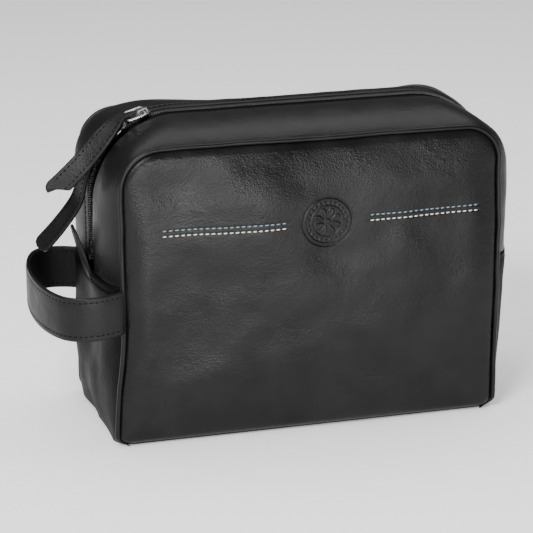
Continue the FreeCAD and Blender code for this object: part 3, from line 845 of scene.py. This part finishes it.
def strap_layer(name, inset, thick, edge):
    rows = []
    for i, (p, t, n) in enumerate(STRAP_LINE):
        z0, half = strap_height(i), STRAP_W / 2 - edge
        profile = []
        for f in (-1.0, -0.93, -0.82, -0.77, -0.72, -0.4, 0.0, 0.4, 0.72, 0.77, 0.82, 0.93, 1.0):
            dip = 0.18 * bump(abs(f) - 0.77, 0.03) - 0.12 * bump(f, 0.6)
            drop = 0.45 * smooth(0.88, 1.0, abs(f))
            profile.append((f * half, inset + drop + dip))
        for f in (1.0, 0.9, 0.4, 0.0, -0.4, -0.9, -1.0):
            profile.append((f * half, inset + thick - (0.3 if abs(f) == 1.0 else 0.0)))
        rows.append([p + n * d + Vector((0, 0, z0 + h)) for h, d in profile])
    return grid_object(name, rows, close_cols=True, settle=False, caps=True)


def strap_spots(z_off, depth, outward):
    out = []
    pts = [p + n * depth + Vector((0, 0, strap_height(i) + z_off)) for i, (p, t, n) in enumerate(STRAP_LINE)]
    for p, t in resample(pts, 3.7)[2:-2]:
        nearest = min(range(len(pts)), key=lambda k: (pts[k] - p).length_squared)
        n = STRAP_LINE[nearest][2]
        out.append((p, t, -n if outward else n))
    return out


def two_ended(obj, mat, replaced=()):
    """Loop pieces: material, the CAD nodes they stand for, and the transform baked into the mesh."""
    obj.data.materials.append(mat)
    if replaced:
        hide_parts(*replaced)
    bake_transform(obj)


two_ended(strap_layer("wrist_loop_outer", 0.0, 1.5, 0.0), PULL_LEATHER, ("wrist_strap_outer",))
two_ended(strap_layer("wrist_loop_inner", 1.55, 1.1, 0.35), BACKING_LEATHER_AND_SHADE,
          ("wrist_strap_lining",))
SEAM_OUT = 11.6  # each seam's height from the middle of the loop
outside = strap_spots(SEAM_OUT, 0.1, True) + strap_spots(-SEAM_OUT, 0.1, True)
inside = strap_spots(SEAM_OUT, 2.6, False) + strap_spots(-SEAM_OUT, 2.6, False)
two_ended(stitches("topstitch_loop", outside + inside, length=2.8, settle=False), BLACK_THREAD)


# ---------------------------------------------------------------- zip end tab
TONGUE_H, TONGUE_HALF, TONGUE_LEAN = 31.0, 15.0, math.radians(15.0)
TONGUE_AT = Vector((-(HALF_W + DOME + 1.4), 0.0, SPLIT_Z + 0.6))


def tongue_point(y, h, out):
    """Point of the tongue: y across, h up its slope, out from its inner face."""
    c, s = math.cos(TONGUE_LEAN), math.sin(TONGUE_LEAN)
    curl = 0.9 * (h / TONGUE_H) ** 2
    return TONGUE_AT + Vector((-h * s - (out + curl) * c, y, h * c - out * s))


def tongue():
    """Half-elliptical leaf with rolled edges, closed top and bottom."""
    shrink = ((1.0, 0.5), (1.0, 1.2), (0.995, 1.7), (0.97, 2.15), (0.93, 2.3), (0.87, 2.2), (0.845, 2.02),
              (0.82, 2.2), (0.6, 2.45), (0.3, 2.6), (0.01, 2.6))
    rows = []
    steps = 40
    for f, out in ((0.01, 0.0), (0.5, 0.0), (0.93, 0.0), (0.985, 0.12)) + shrink:
        row = []
        for k in range(steps + 1):
            a = math.pi * k / steps
            y = TONGUE_HALF * f * math.cos(a)
            h = TONGUE_H * math.sin(a) * f
            row.append(tongue_point(y, h - 4.0 * (1 - math.sin(a)) ** 6, out))
        rows.append(row)
    return grid_object("end_tab_leaf", rows, settle=False)


leaf = tongue()
leaf.data.materials.append(PULL_LEATHER)
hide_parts("zip_end_tab")
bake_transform(leaf)
rim = [tongue_point(TONGUE_HALF * 0.845 * math.cos(a), TONGUE_H * 0.845 * math.sin(a), 2.05)
       for a in (math.pi * k / 60 for k in range(2, 59))]
rim_spots = [(p, t, Vector((-1.0, 0, -0.25))) for p, t in resample(rim, STITCH_PITCH)]
dress(stitches("topstitch_end_tab", rim_spots, settle=False), BLACK_THREAD, body="end_tab")


# ---------------------------------------------------------------- sliders, frames and pull tabs
ARC_X, ARC_Z = -(HALF_W + COIL_MID) + R_CREST, SEAM_TOP + COIL_MID - R_CREST
BRIDGE_H, FRAME_LEN = 3.7, 12.5
TAB_W, TAB_T = 14.5, 2.6
# Slider and frame angles, pivot setback, the tab's first angle, its route (X, Y, Z, twist) and end skew
HANDS = {
    "right": (19.5, 16.5, -1.0, -20.0, ((-120.5, -2.5, 210.7, -12.0), (-131.8, -8.0, 200.8, -40.0),
                                        (-144.5, -9.0, 187.0, -52.0), (-156.5, -9.0, 175.5, -57.0),
                                        (-164.5, -8.5, 168.5, -58.0)), 4.5),
    "left": (36.0, 41.0, 0.0, 50.0, ((-137.5, 0.0, 187.0, -3.0), (-143.8, 0.5, 172.0, -10.0),
                                     (-148.4, 1.5, 157.0, -18.0), (-160.0, 3.0, 140.5, -25.0),
                                     (-174.0, 4.5, 125.0, -30.0)), 0.0),
}


def ahead(point, deg, length):
    a = math.radians(deg)
    return point + Vector((-length * math.cos(a), 0, -length * math.sin(a)))


def pivot_and_eye(slider_deg, frame_deg, back):
    a = math.radians(slider_deg)
    reach = R_CREST + BRIDGE_H
    pivot = Vector((ARC_X - reach * math.sin(a), 0, ARC_Z + reach * math.cos(a)))
    pivot = ahead(pivot, slider_deg, back)
    return pivot, ahead(pivot, frame_deg, FRAME_LEN)


def tab_stations(eye, first_deg, route, count=96):
    """Centre line, direction and across vector along the tab."""
    start = ahead(eye, first_deg, 1.6)
    pts = catmull([start] + [Vector(p[:3]) for p in route], count)
    twists = [0.0] + [p[3] for p in route]
    out = []
    for i, p in enumerate(pts):
        t = (pts[min(i + 1, count)] - pts[max(i - 1, 0)]).normalized()
        spot = (len(twists) - 1) * i / count
        k = min(int(spot), len(twists) - 2)
        twist = math.radians(twists[k] + (twists[k + 1] - twists[k]) * (spot - k))
        across = Matrix.Rotation(twist, 3, t) @ Vector((0, 1, 0))
        across = (across - t * across.dot(t)).normalized()
        out.append((p, t, across, t.cross(across)))
    return out


TAB_END_R = 5.5


def tab_half_width(s, length):
    """Narrow between the frame's wires, full, then a rounded end."""
    half = TAB_W / 2 - (TAB_W / 2 - 4.7) * (1.0 - smooth(1.5, 8.0, s))
    left = length - s
    if left < TAB_END_R:
        half = TAB_W / 2 - TAB_END_R + math.sqrt(max(0.0, TAB_END_R ** 2 - (TAB_END_R - left) ** 2))
    return half


TAB_SECTION = ((-1.0, 0.12), (-0.99, 0.6), (-0.93, 0.93), (-0.86, 1.0), (-0.68, 0.97), (-0.61, 0.84),
               (-0.54, 1.0), (-0.2, 1.1), (0.0, 1.12), (0.2, 1.1), (0.54, 1.0), (0.61, 0.84),
               (0.68, 0.97), (0.86, 1.0), (0.93, 0.93), (0.99, 0.6), (1.0, 0.12),
               (1.0, -0.12), (0.99, -0.6), (0.93, -0.93), (0.86, -1.0), (0.61, -0.86), (0.0, -1.06),
               (-0.61, -0.86), (-0.86, -1.0), (-0.93, -0.93), (-0.99, -0.6), (-1.0, -0.12))


def pull_tab(name, stations, skew):
    """Two layers folded round the bar, with a seam line along the edges; skew slants the end."""
    total = sum((b[0] - a[0]).length for a, b in zip(stations, stations[1:]))
    rows, s = [], 0.0
    for i, (p, t, across, up) in enumerate(stations):
        if i:
            s += (p - stations[i - 1][0]).length
        half = tab_half_width(s, total)
        th = TAB_T / 2 * (1.0 + 0.15 * bump(s, 5.0))
        slant = skew * smooth(total - 18.0, total, s)
        rows.append([p + across * (f * half) + up * (h * th) + t * (slant * f) for f, h in TAB_SECTION])
    return grid_object(name, rows, close_cols=True, settle=False, caps=True)


def tab_eye(name, eye):
    """Roll of leather round the frame's bar."""
    rows = []
    steps, r = 20, 2.15
    for k in range(steps):
        a = 2 * math.pi * k / steps
        rows.append([eye + Vector((r * rr * math.cos(a), y, r * rr * math.sin(a)))
                     for y, rr in ((-4.75, 0.55), (-4.7, 0.85), (-4.3, 1.0), (0.0, 1.02),
                                   (4.3, 1.0), (4.7, 0.85), (4.75, 0.55))])
    return grid_object(name, rows, close_rows=True, settle=False, flip=True)


def tab_stitch_spots(stations, face):
    spots = []
    length = sum((b[0] - a[0]).length for a, b in zip(stations, stations[1:]))
    for f in (-1.0, 1.0):
        pts, ups = [], []
        s = 0.0
        for i, (p, t, across, up) in enumerate(stations):
            if i:
                s += (p - stations[i - 1][0]).length
            if 4.5 < s < length - 6.5:
                out = f * 0.61 * tab_half_width(s, length)
                pts.append(p + across * out + up * (face * TAB_T / 2 * 0.9))
                ups.append(up * face)
        for p, t in resample(pts, 3.5):
            nearest = min(range(len(pts)), key=lambda k: (pts[k] - p).length_squared)
            spots.append((p, t, ups[nearest]))
    return spots


FRAME_ROLL = 12.0  # each frame hangs a little over towards the front


def ring_frame(name, pivot, deg):
    """Flat cast rectangle with rounded corners."""
    path = []
    half, r, long = 6.0, 2.0, FRAME_LEN
    spots = ((0.0, half, 0), (-long, half, 90), (-long, -half, 180), (0.0, -half, 270))
    for cx, cy, a0 in spots:
        ix = cx - r if cx == 0 else cx + r
        iy = cy - r if cy > 0 else cy + r
        for k in range(7):
            a = math.radians(a0 + 15.0 * k)
            path.append((ix + r * math.cos(a), iy + r * math.sin(a)))
    rows = []
    turn = Matrix.Rotation(-math.radians(deg), 3, "Y") @ Matrix.Rotation(math.radians(FRAME_ROLL), 3, "X")
    n = len(path)
    for i, (x, y) in enumerate(path):
        a, b = path[i - 1], path[(i + 1) % n]
        t = Vector((b[0] - a[0], b[1] - a[1], 0)).normalized()
        side = Vector((t.y, -t.x, 0))
        ring = []
        for k in range(14):
            ang = 2 * math.pi * k / 14
            c, s = math.cos(ang), math.sin(ang)
            w = 0.95 * math.copysign(abs(c) ** 0.7, c)
            h = 0.8 * math.copysign(abs(s) ** 0.7, s)
            ring.append(pivot + turn @ (Vector((x, y, 0)) + side * w + Vector((0, 0, h))))
        rows.append(ring)
    return grid_object(name, rows, close_rows=True, close_cols=True, settle=False)


for word, (slider_deg, frame_deg, back, first_deg, route, skew) in HANDS.items():
    pivot, eye = pivot_and_eye(slider_deg, frame_deg, back)
    slider = NODES[word + "_slider"]
    slider.data.materials.clear()
    slider.data.materials.append(SLIDER_METAL)
    bevel = slider.modifiers.new("edges", "BEVEL")
    bevel.width, bevel.segments, bevel.limit_method = 0.00035, 3, "ANGLE"
    ring = ring_frame(word + "_frame_ring", pivot, frame_deg)
    dress(ring, FRAME_METAL, body=word + "_frame", replaced=(word + "_pull_frame",))
    stations = tab_stations(eye, first_deg, route)
    strip = pull_tab(word + "_tab_strip", stations, skew)
    dress(strip, PULL_LEATHER, body=word + "_tab", replaced=(word + "_pull_tab",))
    dress(tab_eye(word + "_tab_eye", eye), PULL_LEATHER, body=word + "_tab")
    spots = tab_stitch_spots(stations, 1) + tab_stitch_spots(stations, -1)
    dress(stitches(word + "_tab_stitches", spots, settle=False), BLACK_THREAD, body=word + "_tab")


# ---------------------------------------------------------------- stage, lights and camera
AIM = Vector((0.0, 0.0, 0.105))


def stage_plane():
    reach = 7000.0
    floor = grid_object("floor", [[(x, y, 0.0) for x in (-reach, reach)] for y in (-reach, reach)],
                        flip=True, settle=False)
    paper = material("paper", (0.93, 0.93, 0.93), 0.9, specular=0.1)
    shader = paper.node_tree.nodes["Principled BSDF"]
    shader.inputs["Emission Color"].default_value = (1.0, 1.0, 1.0, 1.0)
    shader.inputs["Emission Strength"].default_value = 0.25
    fibre = texture(paper, "ShaderNodeTexNoise", 60.0, Detail=2.0)
    add_bump(paper, fibre.outputs["Fac"], 0.02, 0.0002)
    floor.data.materials.append(paper)


stage_plane()


def soft_light(name, at, size, power, aim=AIM):
    light = bpy.data.lights.new(name, "AREA")
    light.shape, light.size, light.size_y = "RECTANGLE", size[0], size[1]
    light.energy = power
    obj = link(bpy.data.objects.new(name, light))
    obj.location = at
    obj.rotation_euler = (aim - Vector(at)).to_track_quat("-Z", "Y").to_euler()


soft_light("key", (-1.0, -1.2, 1.5), (0.7, 0.5), 46.0)
soft_light("low_front", (0.10, -0.66, 0.03), (0.34, 0.14), 1.3, aim=Vector((0.0, -0.05, 0.17)))
soft_light("top", (0.0, 0.3, 1.6), (2.4, 1.4), 32.0)
soft_light("front_soft", (-0.12, -0.95, 0.20), (0.26, 0.16), 4.5, aim=Vector((-0.04, -0.05, 0.17)))
soft_light("side", (-1.7, 0.5, 0.4), (0.3, 0.5), 0.5)

world = bpy.data.worlds.new("soft_room")
world.use_nodes = True
backdrop = world.node_tree.nodes["Background"]
backdrop.inputs["Color"].default_value = (0.94, 0.95, 0.97, 1.0)
backdrop.inputs["Strength"].default_value = 0.15
bpy.context.scene.world = world

AZ, EL, DISTANCE = math.radians(-15.5), math.radians(19.0), 1.6
camera_data = bpy.data.cameras.new("camera")
camera_data.lens, camera_data.sensor_width = 157.5, 36.0
camera = link(bpy.data.objects.new("camera", camera_data))
outlook = Vector((math.sin(AZ) * math.cos(EL), -math.cos(AZ) * math.cos(EL), math.sin(EL)))
camera.location = AIM + outlook * DISTANCE
camera.rotation_euler = (AIM - camera.location).to_track_quat("-Z", "Y").to_euler()
camera_data.shift_x, camera_data.shift_y = -0.0485, -0.020
bpy.context.scene.camera = camera
